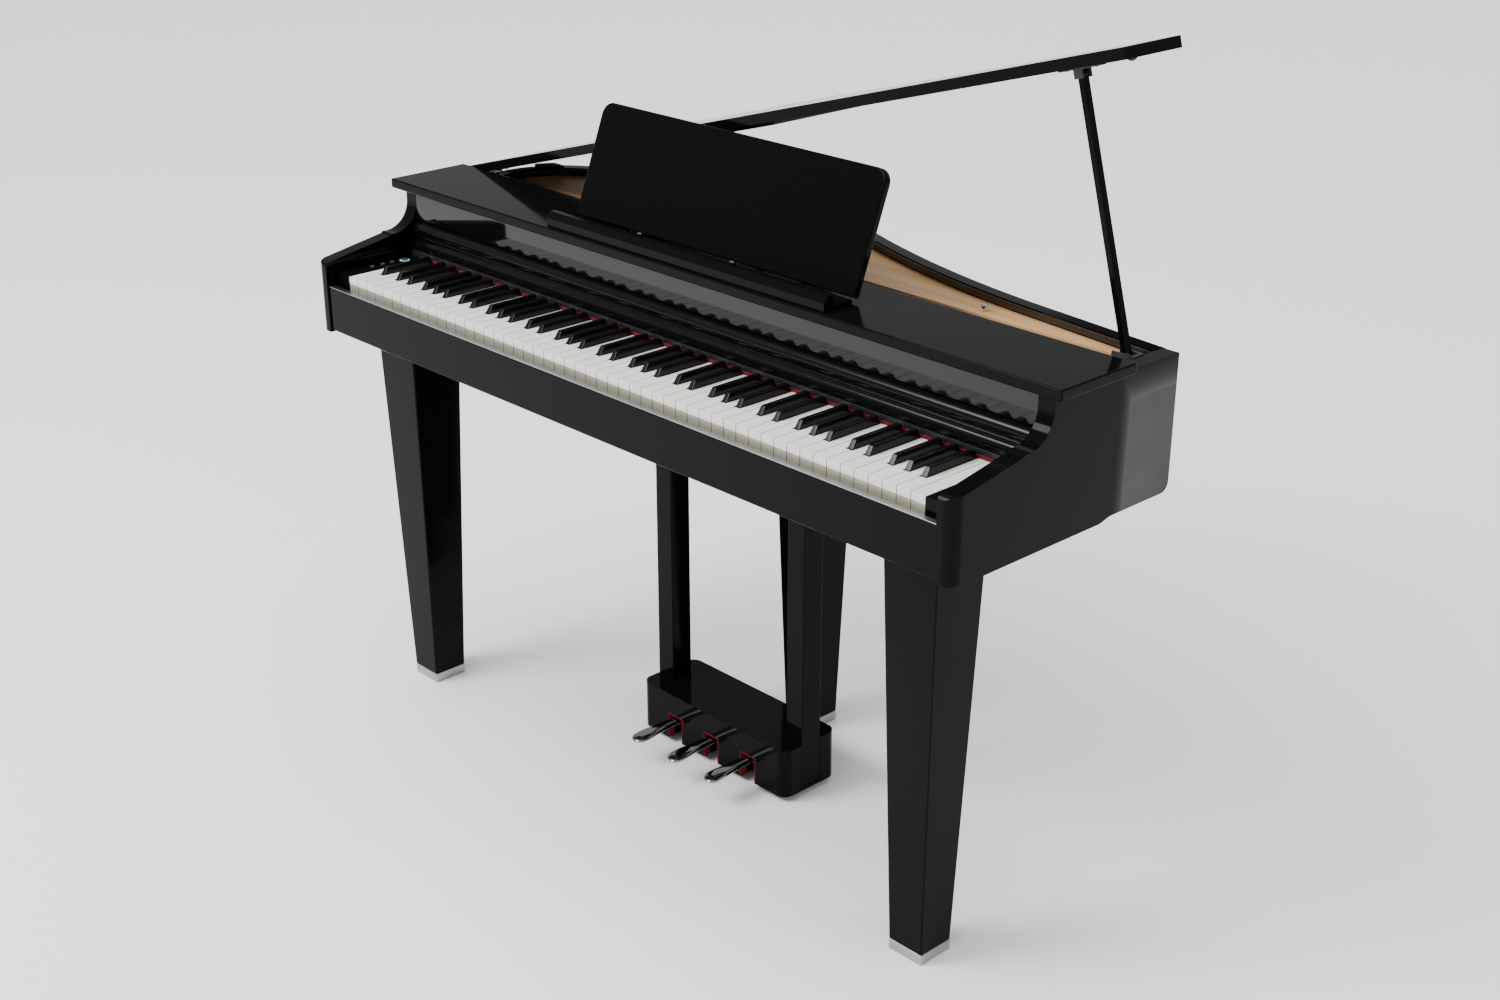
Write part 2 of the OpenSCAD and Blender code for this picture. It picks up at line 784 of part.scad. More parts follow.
module pedal_posts() {
    color(BLACK) place() for (side = [0, 1]) mirror([side, 0, 0])
        block([box_w / 2 - post_w, post_y, box_z + 6], [box_w / 2, post_y + post_d, bed_z]);
}

module pedal_shaft() {
    color(STEEL) place() translate([-cavity_w / 2 - 6, shaft_y, shaft_z]) rotate([0, 90, 0])
        cylinder(r = shaft_r, h = cavity_w + 12);
}

// Felt lining of the three slots, top and both sides
module pedal_felts() {
    half = slot_w / 2;
    color(RED) place() for (x = pedal_xs) {
        block([x - half, box_y - 0.5, slot_top - felt_t], [x + half, box_y + wall, slot_top]);
        for (side = [0, 1]) translate([x + side * (slot_w - felt_t), 0, 0])
            block([-half, box_y - 0.5, box_z], [felt_t - half, box_y + wall, slot_top - felt_t]);
    }
}

module pedal(x) {
    tip = box_y - pedal_reach;
    low = shaft_z - 8;
    color(STEEL) place() translate([x, 0, 0]) difference() {
        union() {
            translate([0, 0, low]) linear_extrude(pedal_t) {
                translate([0, tip + 14]) circle(14);
                polygon([[-14, tip + 14], [14, tip + 14], [11.5, tip + 50], [9, box_y - 8], [9, shaft_y],
                    [-9, shaft_y], [-9, box_y - 8], [-11.5, tip + 50]]);
            }
            translate([-9, shaft_y, shaft_z]) rotate([0, 90, 0]) cylinder(r = 8, h = 18);
        }
        translate([-20, shaft_y, shaft_z]) rotate([0, 90, 0]) cylinder(r = shaft_r + running, h = 40);
    }
}

module soft_pedal() { pedal(pedal_xs[0]); }
module middle_pedal() { pedal(pedal_xs[1]); }
module sustain_pedal() { pedal(pedal_xs[2]); }

// Controls
module button(y, x, r) {
    color("#d0d2d4") place() translate([x, y, key_z - 8]) cylinder(r = r, h = 8 + button_up);
}

module function_button() { button(button_ys[0], button_x, button_r); }
module volume_buttons() {
    for (k = [1, 2]) button(button_ys[k], button_x, button_r);
}
module power_button() { button(power_y, button_x + 3, power_r); }

// Inside the case
module circuit_board() {
    z = bed_z + board_t;
    color("#1f6b3a") place() {
        block([-300, key_end + 17, z + 4], [-60, key_end + 57, z + 5.6]);
        for (x = [-290, -70], y = [key_end + 22, key_end + 52]) translate([x, y, z]) cylinder(r = 3, h = 4);
    }
}

module speakers() {
    color("#2c2c2e") place() for (p = [[-139, 140], [361, 175]])
        translate([tail_c.x + p.x, tail_y - p.y, board_top]) {
            difference() {
                cylinder(r1 = 26, r2 = 42, h = 30);
                translate([0, 0, 16]) cylinder(r1 = 14, r2 = 36, h = 14.1);
            }
            translate([0, 0, 30]) difference() {
                cylinder(r = 42, h = 4);
                translate([0, 0, -1]) cylinder(r = 36, h = 6);
            }
        }
}

jack_r = 3.2;
inlet_r = 2.8;

module jack_panel() {
    x = -(xi - 22);
    color("#262628") place() {
        difference() {
            block([x - 18, 40, bed_z - 18], [x + 18, 80, bed_z]);
            for (k = [-9, 9]) translate([x + k, 39, bed_z - 9]) rotate([-90, 0, 0])
                cylinder(r = jack_r, h = 26);
        }
        difference() {
            block([-110, step_y - 20, bed_z - 16], [-90, step_y - 2, bed_z]);
            translate([-100, step_y - 1, bed_z - 8]) rotate([90, 0, 0]) cylinder(r = inlet_r, h = 13);
        }
    }
}

side_left();
side_right();
rim();
rim_liner();
case_bottom();
cross_rail();
deck();
deck_knob();
key_slip();
slip_strip();
front_panel();
top_panel();
key_blocks();
key_frame();
key_pivot_rod();
felt_rail();
key_felt();
white_keys_1();
white_keys_2();
white_keys_3();
white_keys_4();
black_keys_1();
black_keys_2();
black_keys_3();
black_keys_4();
cover_moulding();
cover_board();
cover_guides();
music_desk();
desk_ledge();
desk_brackets();
desk_barrels();
page_clip_left();
page_clip_right();
lid();
lid_batten();
lid_bumpers();
lid_rest();
lid_hinge_case();
lid_hinge_lid();
prop_bracket();
prop();
prop_fork();
front_legs();
rear_leg();
leg_plates();
foot_caps();
pedal_box();
pedal_posts();
pedal_shaft();
pedal_felts();
soft_pedal();
middle_pedal();
sustain_pedal();
function_button();
volume_buttons();
power_button();
circuit_board();
speakers();
jack_panel();
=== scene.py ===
"""Looks of the compact digital grand piano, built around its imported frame. Metres, +Z up."""
import json
import math

import bmesh
import bpy
from mathutils import Matrix, Vector


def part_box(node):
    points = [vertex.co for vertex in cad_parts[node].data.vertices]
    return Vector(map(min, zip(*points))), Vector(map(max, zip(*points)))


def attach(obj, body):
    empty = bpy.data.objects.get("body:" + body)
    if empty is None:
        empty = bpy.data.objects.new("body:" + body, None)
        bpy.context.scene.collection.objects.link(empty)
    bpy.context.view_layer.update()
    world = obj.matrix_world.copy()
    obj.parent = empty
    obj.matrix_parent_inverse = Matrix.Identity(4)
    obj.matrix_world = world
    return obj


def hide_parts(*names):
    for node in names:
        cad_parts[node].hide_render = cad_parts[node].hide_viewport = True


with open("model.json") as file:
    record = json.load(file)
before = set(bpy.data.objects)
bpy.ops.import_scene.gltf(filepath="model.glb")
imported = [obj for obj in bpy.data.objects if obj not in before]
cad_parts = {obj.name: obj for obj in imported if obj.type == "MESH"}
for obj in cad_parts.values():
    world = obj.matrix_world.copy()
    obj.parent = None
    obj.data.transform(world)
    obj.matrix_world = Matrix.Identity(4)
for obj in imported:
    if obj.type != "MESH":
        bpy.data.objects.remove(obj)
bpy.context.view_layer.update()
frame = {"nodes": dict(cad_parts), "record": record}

BODY_OF = {n: b for b, names in frame["record"]["behaviour"]["bodies"].items() for n in names}
SLOT_OF = {s["node"]: s["material_slot"] for s in frame["record"]["subparts"]}
MM = 0.001


# ---------------------------------------------------------------- camera, lights and floor

def aim(thing, target):
    thing.rotation_euler = (Vector(target) - thing.location).to_track_quat("-Z", "Y").to_euler()


CAMERA_AT = (2.0981, -1.9808, 1.6622)
CAMERA_AIM = (0.1398, -0.135, 0.5)
FLOOR_HALF = 30


def place_camera():
    """The one view, from the player's right and a little above."""
    lens = bpy.data.cameras.new("camera")
    lens.lens = 49.5
    lens.sensor_width = 36
    lens.shift_x = 0.0035
    lens.shift_y = 0.0072
    lens.clip_start = 0.05
    camera = bpy.data.objects.new("camera", lens)
    bpy.context.collection.objects.link(camera)
    camera.location = CAMERA_AT
    aim(camera, CAMERA_AIM)
    bpy.context.scene.camera = camera


def softbox(name, location, target, size, power):
    light = bpy.data.lights.new(name, "AREA")
    light.shape = "RECTANGLE"
    light.size, light.size_y = size
    light.energy = power
    thing = bpy.data.objects.new(name, light)
    bpy.context.collection.objects.link(thing)
    thing.location = location
    aim(thing, target)
    return thing


def light_studio():
    """A pale room, one key light, and an overhead and a side light that show in no gloss."""
    world = bpy.data.worlds.new("studio")
    bpy.context.scene.world = world
    world.use_nodes = True
    backdrop = world.node_tree.nodes["Background"].inputs
    backdrop["Color"].default_value = (0.97, 0.98, 1.0, 1)
    backdrop["Strength"].default_value = 0.5
    softbox("key_light", (-1.6, -3.2, 3.4), (0, 0, 0.7), (2.0, 1.4), 170)
    overhead = bpy.data.lights.new("overhead", "SUN")
    overhead.energy = 3.4
    overhead.angle = math.radians(80)
    ceiling = bpy.data.objects.new("overhead", overhead)
    bpy.context.collection.objects.link(ceiling)
    ceiling.rotation_euler = (math.radians(12), math.radians(-10), 0)
    ceiling.visible_glossy = False
    side = softbox("side_light", (3.6, 0.8, 1.6), (0.3, 0, 0.6), (0.8, 2.2), 25)
    side.visible_glossy = False


def lay_floor():
    mesh = bpy.data.meshes.new("floor")
    build = bmesh.new()
    bmesh.ops.create_grid(build, x_segments=1, y_segments=1, size=FLOOR_HALF)
    build.to_mesh(mesh)
    build.free()
    floor = bpy.data.objects.new("floor", mesh)
    bpy.context.collection.objects.link(floor)
    paint = bpy.data.materials.new("pale_floor")
    paint.use_nodes = True
    shader = paint.node_tree.nodes["Principled BSDF"]
    shader.inputs["Base Color"].default_value = (0.97, 0.97, 0.97, 1)
    shader.inputs["Roughness"].default_value = 0.9
    shader.inputs["Specular IOR Level"].default_value = 0.1
    mesh.materials.append(paint)


# ---------------------------------------------------------------- node helpers

def wire(tree, kind, inputs=None, **settings):
    """A node with its settings made and its inputs linked or set."""
    node = tree.nodes.new(kind)
    for key, value in settings.items():
        setattr(node, key, value)
    for key, value in (inputs or {}).items():
        if isinstance(value, bpy.types.NodeSocket):
            tree.links.new(value, node.inputs[key])
        else:
            node.inputs[key].default_value = value
    return node


def noise(tree, vector, scale, detail, **more):
    """Cloudy values about one half."""
    inputs = {"Vector": vector, "Scale": scale, "Detail": detail, **more}
    return wire(tree, "ShaderNodeTexNoise", inputs).outputs["Fac"]


def spread(tree, value, low, high, to_low=0.0, to_high=1.0):
    """The value stretched from the range low to high onto another."""
    inputs = {"Value": value, "From Min": low, "From Max": high, "To Min": to_low, "To Max": to_high}
    return wire(tree, "ShaderNodeMapRange", inputs).outputs[0]


def stretched(tree, vector, scale, **more):
    """The coordinates scaled, and turned where a rotation is given."""
    return wire(tree, "ShaderNodeMapping", {"Vector": vector, "Scale": scale, **more}).outputs[0]


def facing(tree, axis):
    """How far the surface looks along one axis."""
    normal = wire(tree, "ShaderNodeNewGeometry").outputs["Normal"]
    return wire(tree, "ShaderNodeSeparateXYZ", {0: normal}).outputs[axis]


def blend_colors(tree, factor, low, high):
    return wire(tree, "ShaderNodeMixRGB", {"Fac": factor, "Color1": low, "Color2": high}).outputs[0]


def math_node(tree, operation, a, b=0.5):
    return wire(tree, "ShaderNodeMath", {0: a, 1: b}, operation=operation).outputs[0]


def effect(name, inputs, outputs):
    """An empty shader group with its sockets, and its two end nodes."""
    group = bpy.data.node_groups.new(name, "ShaderNodeTree")
    for label, kind, value in inputs:
        socket = group.interface.new_socket(label, in_out="INPUT", socket_type="NodeSocket" + kind)
        if value is not None:
            socket.default_value = value
    for label, kind in outputs:
        group.interface.new_socket(label, in_out="OUTPUT", socket_type="NodeSocket" + kind)
    return group, group.nodes.new("NodeGroupInput").outputs, group.nodes.new("NodeGroupOutput").inputs


def make_mottle():
    """Soft cloudy change between two values."""
    group, given, result = effect(
        "mottle",
        [("Vector", "Vector", None), ("Scale", "Float", 8), ("Low", "Float", 0), ("High", "Float", 1)],
        [("Value", "Float")])
    cloud = noise(group, given["Vector"], given["Scale"], 4.0, Roughness=0.6)
    group.links.new(spread(group, cloud, 0.32, 0.68, given["Low"], given["High"]), result["Value"])
    return group


def make_hairlines():
    """Fine polishing lines that cross each other, as a mask."""
    group, given, result = effect(
        "hairlines", [("Vector", "Vector", None), ("Scale", "Float", 30), ("Amount", "Float", 0.2)],
        [("Value", "Float")])
    total = None
    for turn, stretch in ((0.4, 38.0), (1.9, 45.0), (2.7, 30.0)):
        turned = stretched(group, given["Vector"], (1, stretch, stretch * 0.5),
                           Rotation=(turn * 0.3, turn * 0.7, turn))
        thin = spread(group, noise(group, turned, given["Scale"], 2.0), 0.66, 0.72)
        total = thin if total is None else math_node(group, "MAXIMUM", total, thin)
    group.links.new(math_node(group, "MULTIPLY", total, given["Amount"]), result["Value"])
    return group


def make_settled_dust():
    """A faint veil on the faces that look up."""
    group, given, result = effect(
        "settled_dust", [("Vector", "Vector", None), ("Amount", "Float", 0.1)], [("Mask", "Float")])
    up = spread(group, facing(group, "Z"), 0.6, 1.0)
    grains = spread(group, noise(group, given["Vector"], 240.0, 5.0, Roughness=0.8), 0.5, 0.8)
    veil = math_node(group, "MULTIPLY", math_node(group, "MULTIPLY", up, grains), given["Amount"])
    group.links.new(veil, result["Mask"])
    return group


def make_worn_edges():
    """The outer edges, broken up, where hands rub the finish."""
    group, given, result = effect(
        "worn_edges", [("Vector", "Vector", None), ("Amount", "Float", 0.3)], [("Mask", "Float")])
    sharp = wire(group, "ShaderNodeNewGeometry").outputs["Pointiness"]
    edge = spread(group, sharp, 0.53, 0.62)
    patchy = spread(group, noise(group, given["Vector"], 60.0, 6.0), 0.42, 0.6)
    mask = math_node(group, "MULTIPLY", math_node(group, "MULTIPLY", edge, patchy), given["Amount"])
    group.links.new(mask, result["Mask"])
    return group


def make_wood_grain():
    """Long grain along X: pale and dark growth lines with pores."""
    group, given, result = effect(
        "wood_grain",
        [("Vector", "Vector", None), ("Scale", "Float", 3), ("Light", "Color", (0.8, 0.6, 0.4, 1)),
         ("Dark", "Color", (0.5, 0.3, 0.2, 1))],
        [("Color", "Color"), ("Height", "Float")])
    laid = stretched(group, given["Vector"], (1, 12, 12))
    bands = noise(group, laid, given["Scale"], 5.0, Distortion=0.6)
    pores = noise(group, stretched(group, given["Vector"], (6, 260, 260)), given["Scale"], 3.0)
    mixed = math_node(group, "ADD", math_node(group, "MULTIPLY", bands, 0.7),
                      math_node(group, "MULTIPLY", pores, 0.3))
    level = spread(group, mixed, 0.38, 0.62)
    group.links.new(blend_colors(group, level, given["Dark"], given["Light"]), result["Color"])
    group.links.new(pores, result["Height"])
    return group


def make_brushing():
    """Straight brushing lines along X."""
    group, given, result = effect(
        "brushing", [("Vector", "Vector", None), ("Scale", "Float", 20), ("Low", "Float", 0.2),
                     ("High", "Float", 0.4)], [("Value", "Float")])
    lines = noise(group, stretched(group, given["Vector"], (1, 60, 60)), given["Scale"], 4.0)
    group.links.new(spread(group, lines, 0.3, 0.7, given["Low"], given["High"]), result["Value"])
    return group


MOTTLE = make_mottle()
HAIRLINES = make_hairlines()
DUST = make_settled_dust()
WORN = make_worn_edges()
GRAIN = make_wood_grain()
BRUSHING = make_brushing()


# ---------------------------------------------------------------- finishes

def finish(name, **constants):
    """A new material, its tree, its shader and the object coordinates."""
    material = bpy.data.materials.new(name)
    material.use_nodes = True
    tree = material.node_tree
    shader = tree.nodes["Principled BSDF"]
    for key, value in constants.items():
        shader.inputs[key.replace("_", " ")].default_value = value
    coords = tree.nodes.new("ShaderNodeTexCoord").outputs["Object"]
    return material, tree, shader, coords


def use(tree, group, inputs):
    """An effect placed in a material: its first output."""
    return wire(tree, "ShaderNodeGroup", inputs, node_tree=group).outputs[0]


def bump(tree, shader, height, strength, distance):
    node = wire(tree, "ShaderNodeBump", {"Height": height, "Strength": strength, "Distance": distance})
    tree.links.new(node.outputs["Normal"], shader.inputs["Normal"])


def lacquer(name, base, shine, low, high):
    """Polished polyester: deep black with orange peel, polishing lines and a little dust."""
    material, tree, shader, coords = finish(name, IOR=1.5, Specular_IOR_Level=shine,
                                            Coat_Weight=shine * 0.3, Coat_Roughness=0.02)
    veil = use(tree, DUST, {"Vector": coords, "Amount": 0.02})
    tint = blend_colors(tree, veil, base, (0.3, 0.3, 0.3, 1))
    tree.links.new(tint, shader.inputs["Base Color"])
    gloss = use(tree, MOTTLE, {"Vector": coords, "Scale": 5.0, "Low": low, "High": high})
    lines = use(tree, HAIRLINES, {"Vector": coords, "Scale": 9.0, "Amount": 0.03})
    rough = math_node(tree, "ADD", gloss, math_node(tree, "ADD", lines, veil))
    tree.links.new(rough, shader.inputs["Roughness"])
    bump(tree, shader, noise(tree, coords, 55.0, 2.0), 0.1, 0.0002)
    return material


def grey(value, blue=0.0):
    """A neutral tone, a little cooler where blue is given."""
    return (value, value, value + blue, 1)


def moulded(name, base, high, low_rough, high_rough, pebble=900.0, strength=0.12, wear=0.08, shine=0.4):
    """Moulded plastic or paint with a fine pebbled skin."""
    material, tree, shader, coords = finish(name, IOR=1.46, Specular_IOR_Level=shine)
    cloud = use(tree, MOTTLE, {"Vector": coords, "Scale": 14.0, "Low": 0.0, "High": 1.0})
    worn = use(tree, WORN, {"Vector": coords, "Amount": wear})
    tint = blend_colors(tree, cloud, base, high)
    tint = blend_colors(tree, worn, tint, tuple(min(1, 3 * c + 0.02) for c in high[:3]) + (1,))
    tree.links.new(tint, shader.inputs["Base Color"])
    rough = use(tree, MOTTLE, {"Vector": coords, "Scale": 40.0, "Low": low_rough, "High": high_rough})
    tree.links.new(rough, shader.inputs["Roughness"])
    bump(tree, shader, noise(tree, coords, pebble, 2.0), strength, 0.0004)
    return material


def metal(name, tone, low, high, brushed):
    """Bare or plated metal; brushed along X or polished with a few hairlines."""
    material, tree, shader, coords = finish(name, Metallic=1.0)
    cloud = use(tree, MOTTLE, {"Vector": coords, "Scale": 22.0, "Low": 0.0, "High": 0.35})
    dark = tuple(0.72 * c for c in tone[:3]) + (1,)
    tree.links.new(blend_colors(tree, cloud, tone, dark), shader.inputs["Base Color"])
    if brushed:
        rough = use(tree, BRUSHING, {"Vector": coords, "Scale": 25.0, "Low": low, "High": high})
    else:
        lines = use(tree, HAIRLINES, {"Vector": coords, "Scale": 18.0, "Amount": 0.12})
        rough = math_node(tree, "ADD", lines,
                          use(tree, MOTTLE, {"Vector": coords, "Scale": 30.0, "Low": low, "High": high}))
    tree.links.new(rough, shader.inputs["Roughness"])
    bump(tree, shader, rough, 0.08, 0.0004)
    return material


def ivory():
    """Moulded keys: warm white and satin, with painted shade low on their fronts and painted shade on their
    flanks in the gaps between keys.
    """
    material, tree, shader, coords = finish("ivory_keys", IOR=1.5, Coat_Weight=0.12, Coat_Roughness=0.1)
    cloud = use(tree, MOTTLE, {"Vector": coords, "Scale": 26.0, "Low": 0.0, "High": 1.0})
    top = blend_colors(tree, cloud, (0.80, 0.79, 0.735, 1), (0.77, 0.76, 0.70, 1))
    place = wire(tree, "ShaderNodeSeparateXYZ", {0: coords}).outputs
    # Painted shade: below the unshaded band at the top of each key front, the front turns dark beige.
    edge = KEY_TOP - KEY_FRONT_UNSHADED
    fade = 0.6 * MM
    low = spread(tree, place["Z"], edge + fade, edge - fade)
    with_front_shade = blend_colors(tree, low, top, (0.30, 0.29, 0.22, 1))
    # Painted shade: faces that look along X turn near black, standing for the shadow in the gaps between
    # keys.
    shade_on_flanks = spread(tree, math_node(tree, "ABSOLUTE", facing(tree, "X"), 0), 0.75, 0.95)
    tree.links.new(blend_colors(tree, shade_on_flanks, with_front_shade, (0.035, 0.033, 0.028, 1)), shader.inputs["Base Color"])
    rough = use(tree, MOTTLE, {"Vector": coords, "Scale": 60.0, "Low": 0.22, "High": 0.36})
    tree.links.new(rough, shader.inputs["Roughness"])
    bump(tree, shader, noise(tree, stretched(tree, coords, (40, 3, 40)), 40.0, 3.0), 0.1, 0.0003)
    return material


def wood(name, light, dark):
    """Satin veneer with its grain along X."""
    material, tree, shader, coords = finish(name, IOR=1.48, Coat_Weight=0.15, Coat_Roughness=0.2)
    grain = wire(tree, "ShaderNodeGroup", {"Vector": coords, "Scale": 3.0, "Light": light, "Dark": dark},
                 node_tree=GRAIN).outputs
    tree.links.new(grain["Color"], shader.inputs["Base Color"])
    rough = use(tree, MOTTLE, {"Vector": coords, "Scale": 12.0, "Low": 0.35, "High": 0.5})
    tree.links.new(rough, shader.inputs["Roughness"])
    bump(tree, shader, grain["Height"], 0.25, 0.0004)
    return material


def felt():
    """Pressed wool: matted fibres in two reds."""
    material, tree, shader, coords = finish("red_felt", Sheen_Weight=0.08, Sheen_Roughness=0.5, IOR=1.4,
                                            Specular_IOR_Level=0.1)
    fibres = noise(tree, coords, 900.0, 6.0, Roughness=0.8, Distortion=1.5)
    strands = spread(tree, fibres, 0.35, 0.65)
    reds = blend_colors(tree, strands, (0.05, 0.003, 0.005, 1), (0.2, 0.009, 0.014, 1))
    tree.links.new(reds, shader.inputs["Base Color"])
    rough = use(tree, MOTTLE, {"Vector": coords, "Scale": 90.0, "Low": 0.85, "High": 1.0})
    tree.links.new(rough, shader.inputs["Roughness"])
    bump(tree, shader, fibres, 0.7, 0.0006)
    return material


def glow(name, tint, strength):
    """A lit plastic lens."""
    material, tree, shader, coords = finish(name, Emission_Strength=strength)
    cloud = use(tree, MOTTLE, {"Vector": coords, "Scale": 200.0, "Low": 0.0, "High": 1.0})
    soft = tuple(0.75 * c for c in tint[:3]) + (1,)
    tree.links.new(blend_colors(tree, cloud, tint, soft), shader.inputs["Emission Color"])
    shader.inputs["Base Color"].default_value = tint
    return material


KEY_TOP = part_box("white_keys_1")[1][2]
# Height of the key fronts left unshaded; below it they take painted shade.
KEY_FRONT_UNSHADED = 11 * MM
SHARP_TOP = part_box("black_keys_1")[1][2]
RIM_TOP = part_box("rim")[1][2]
BED_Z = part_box("case_bottom")[0][2]
PITCH = 0.0235
LID_OPEN = math.radians(16)
DEEP = (0.0028, 0.0028, 0.0032, 1)
FINISHES = {
    "black_lacquer": lacquer("black_lacquer", DEEP, 0.05, 0.06, 0.12),
    "lid_finish": lacquer("lid_finish", DEEP, 0.05, 0.06, 0.11),
    "ivory_keys": ivory(),
    "sharp_keys": moulded("sharp_keys", grey(0.003), grey(0.005), 0.14, 0.24, pebble=500, strength=0.05,
                          wear=0.02, shine=0.25),
    "satin_black": moulded("satin_black", grey(0.01, 0.001), grey(0.016, 0.001), 0.35, 0.5),
    "board_black": moulded("board_black", grey(0.012), grey(0.02), 0.5, 0.7, pebble=300, strength=0.3),
    "deck_maple": wood("deck_maple", (0.74, 0.45, 0.21, 1), (0.56, 0.31, 0.13, 1)),
    "rim_veneer": wood("rim_veneer", (0.02, 0.009, 0.005, 1), (0.008, 0.004, 0.0025, 1)),
    "red_felt": felt(),
    "polished_metal": metal("polished_metal", grey(0.72, 0.01), 0.04, 0.1, False),
    "silver_cap": metal("silver_cap", (0.40, 0.41, 0.43, 1), 0.28, 0.42, True),
    "dark_steel": moulded("dark_steel", grey(0.02, 0.002), grey(0.035, 0.002), 0.3, 0.45, pebble=700,
                          strength=0.15, wear=0.5),
    "frame_steel": metal("frame_steel", (0.45, 0.46, 0.47, 1), 0.3, 0.45, True),
    "button_plastic": moulded("button_plastic", (0.05, 0.052, 0.055, 1), (0.07, 0.072, 0.075, 1), 0.3, 0.4),
    "bumper_rubber": moulded("bumper_rubber", grey(0.012), grey(0.03), 0.6, 0.8, pebble=400, strength=0.3),
    "board_green": moulded("board_green", (0.01, 0.09, 0.04, 1), (0.015, 0.13, 0.06, 1), 0.3, 0.45),
}
# A darker copy of polished_metal for the pedals and page clips: painted shade standing for the dark
# surroundings they reflect.
SHADED_CHROME = metal("shaded_chrome", grey(0.34, 0.01), 0.05, 0.11, False)
SOFT_LACQUER = lacquer("soft_lacquer", DEEP, 0.14, 0.14, 0.22)
MIRROR_LACQUER = lacquer("mirror_lacquer", DEEP, 0.32, 0.03, 0.06)
POWER_GLOW = glow("power_glow", (0.25, 0.62, 0.9, 1), 1.2)


# ---------------------------------------------------------------- pieces

def add_piece(name, mesh, body, slot, material=None, nodes=()):
    """A visible piece with its finish, the slot's own unless another is given, parented to the body it
    rides, with the nodes it stands for hidden.
    """
    piece = bpy.data.objects.new(name, mesh)
    bpy.context.collection.objects.link(piece)
    mesh.materials.clear()
    mesh.materials.append(material or FINISHES[slot])
    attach(piece, body)
    if nodes:
        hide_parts(*nodes)


SAME_POINT = 2e-6
FLAT_WITHIN = math.radians(0.6)
EDGE_FROM = math.radians(28)


def applied(thing, name):
    """The thing's mesh with its modifiers made real; the thing itself goes."""
    bpy.context.view_layer.update()
    ready = thing.evaluated_get(bpy.context.evaluated_depsgraph_get())
    mesh = bpy.data.meshes.new_from_object(ready)
    mesh.name = name
    bpy.data.objects.remove(thing)
    return mesh


def round_edges(thing, radius, segments):
    """Rounds the edges and keeps the flat faces flat in the light."""
    for face in thing.data.polygons:
        face.use_smooth = True
    bevel = thing.modifiers.new("ease", "BEVEL")
    bevel.width = radius
    bevel.segments = segments
    bevel.limit_method = "ANGLE"
    bevel.angle_limit = EDGE_FROM
    normals = thing.modifiers.new("flat_faces", "WEIGHTED_NORMAL")
    normals.keep_sharp = True


def eased(node, radius, segments):
    """The node's own shape with its edges eased, as a new mesh."""
    source = frame["nodes"][node].data
    build = bmesh.new()
    build.from_mesh(source)
    bmesh.ops.remove_doubles(build, verts=build.verts, dist=SAME_POINT)
    bmesh.ops.dissolve_limit(build, angle_limit=FLAT_WITHIN, verts=build.verts, edges=build.edges)
    mesh = bpy.data.meshes.new(node)
    build.to_mesh(mesh)
    build.free()
    thing = bpy.data.objects.new("shaping", mesh)
    bpy.context.collection.objects.link(thing)
    round_edges(thing, radius, segments)
    return applied(thing, node)


# ---------------------------------------------------------------- Geometry Nodes

def grow(name, inputs, build):
    """A geometry tree: named inputs, then build(tree, given) gives the geometry that goes out."""
    tree = bpy.data.node_groups.new(name, "GeometryNodeTree")
    tree.interface.new_socket("Geometry", in_out="INPUT", socket_type="NodeSocketGeometry")
    for label, kind, value in inputs:
        socket = tree.interface.new_socket(label, in_out="INPUT", socket_type="NodeSocket" + kind)
        socket.default_value = value
    tree.interface.new_socket("Material", in_out="INPUT", socket_type="NodeSocketMaterial")
    tree.interface.new_socket("Geometry", in_out="OUTPUT", socket_type="NodeSocketGeometry")
    given = tree.nodes.new("NodeGroupInput").outputs
    real = wire(tree, "GeometryNodeRealizeInstances", {0: build(tree, given)}).outputs[0]
    painted = wire(tree, "GeometryNodeSetMaterial", {"Geometry": real, "Material": given["Material"]})
    tree.links.new(painted.outputs[0], tree.nodes.new("NodeGroupOutput").inputs[0])
    return tree


def grown(thing, tree, values, name, flat_faces=False):
    """The thing after the tree has worked on it, as a plain mesh."""
    modifier = thing.modifiers.new("grow", "NODES")
    modifier.node_group = tree
    for item in tree.interface.items_tree:
        if item.in_out == "INPUT" and item.name in values:
            modifier[item.identifier] = values[item.name]
    if flat_faces:
        thing.modifiers.new("flat_faces", "WEIGHTED_NORMAL")
    return applied(thing, name)


def bare(name, verts, edges=(), faces=()):
    mesh = bpy.data.meshes.new(name)
    mesh.from_pydata(verts, edges, faces)
    thing = bpy.data.objects.new(name, mesh)
    bpy.context.collection.objects.link(thing)
    return thing


# White keys count from C = 0 in an octave; the keyboard starts at A, and E and B have no sharp.
NOTES, FIRST_NOTE, E_KEY, B_KEY = 7.0, 5.0, 2.0, 6.0
PAIR_MIDDLE, PAIR_SHIFT = 0.5, 0.24
THREE_MIDDLE, THREE_SHIFT = 4.0, 0.16


